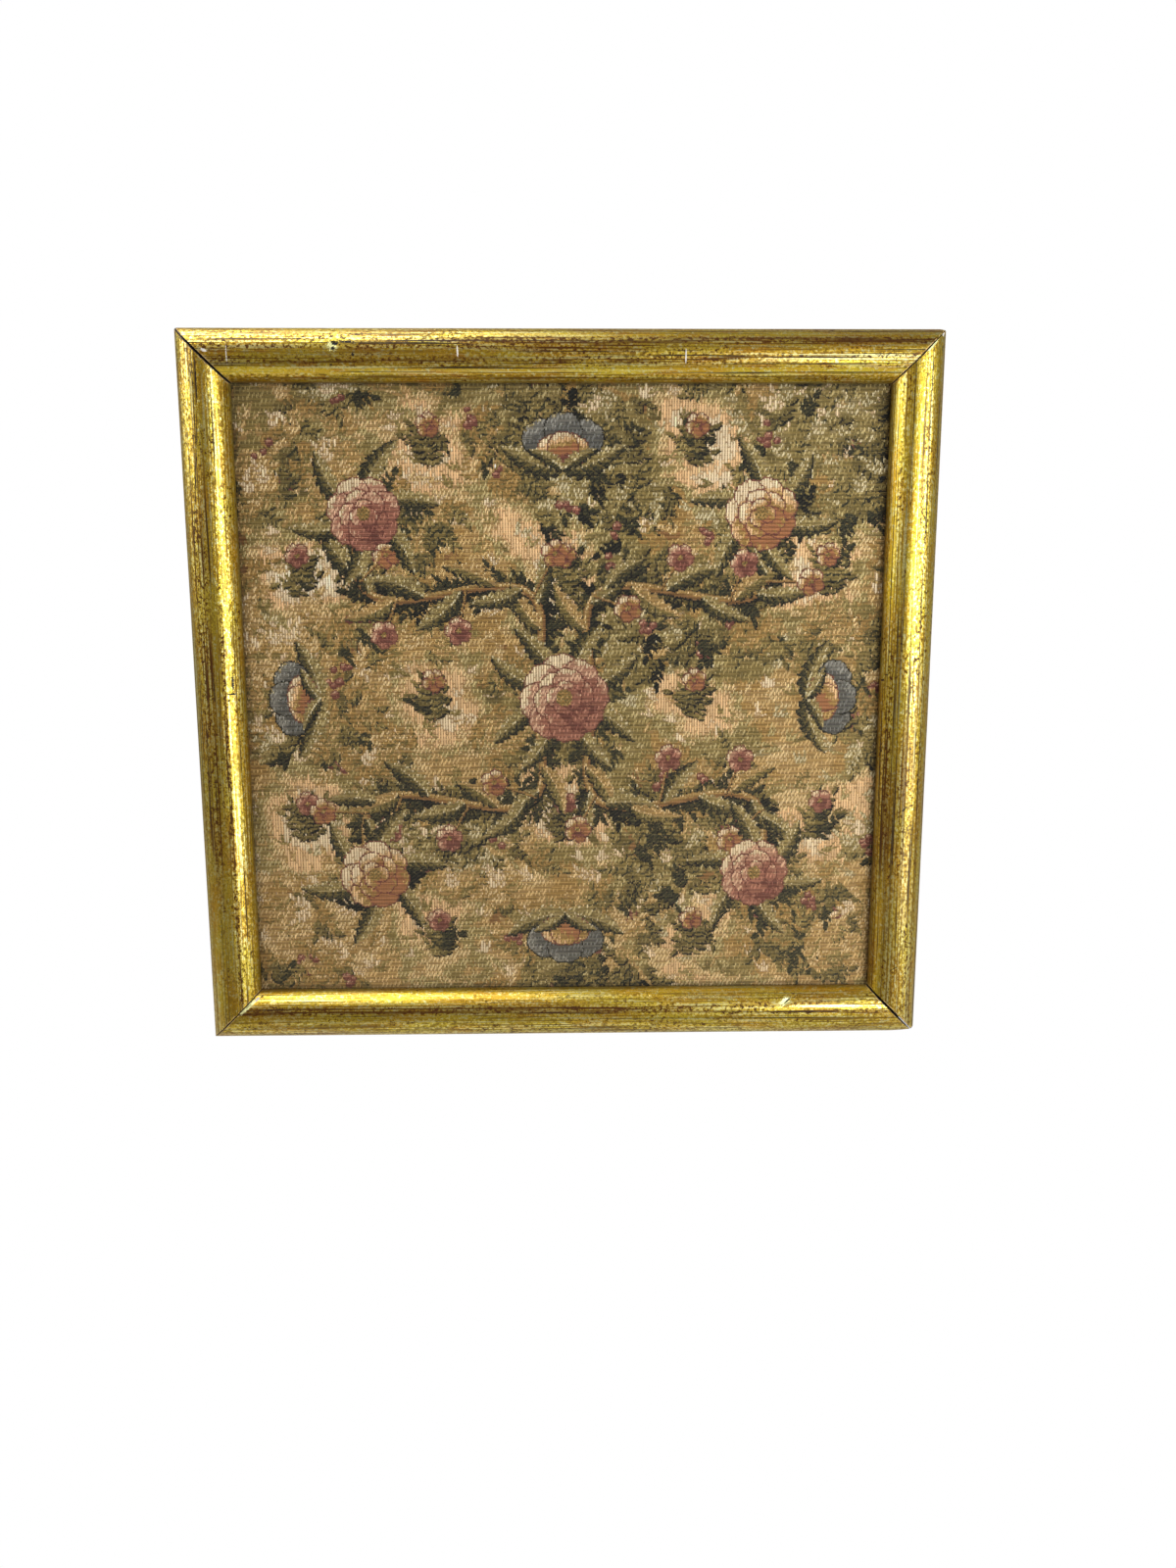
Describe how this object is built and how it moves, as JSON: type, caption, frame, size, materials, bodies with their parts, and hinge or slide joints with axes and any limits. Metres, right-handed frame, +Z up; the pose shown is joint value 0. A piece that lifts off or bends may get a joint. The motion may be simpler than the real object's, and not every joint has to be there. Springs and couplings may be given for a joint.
{
  "type": "framed tapestry picture",
  "caption": "Flat machine-woven tapestry held in the rabbet of a narrow half-round gilt wooden picture frame with mitred corners.",
  "frame": {"origin": "middle of the top rail's flat back, where the picture hangs against a wall", "axes": "+X to the picture's right as seen from its front, +Y out of its back into the wall, +Z up; the cloth's face looks along -Y"},
  "size_m": [0.42, 0.0205, 0.404],
  "materials": {
    "gilt_wood": "yellow gilding toned olive brown, with fine streaks and rubbed edges",
    "woven_cloth": "matt jacquard weave in olive, ochre, cream, rose and dark green yarns"
  },
  "bodies": {
    "root": {"rail_top": "gilt_wood", "rail_right": "gilt_wood", "rail_bottom": "gilt_wood", "rail_left": "gilt_wood", "tapestry": "woven_cloth"}
  },
  "joints": []
}
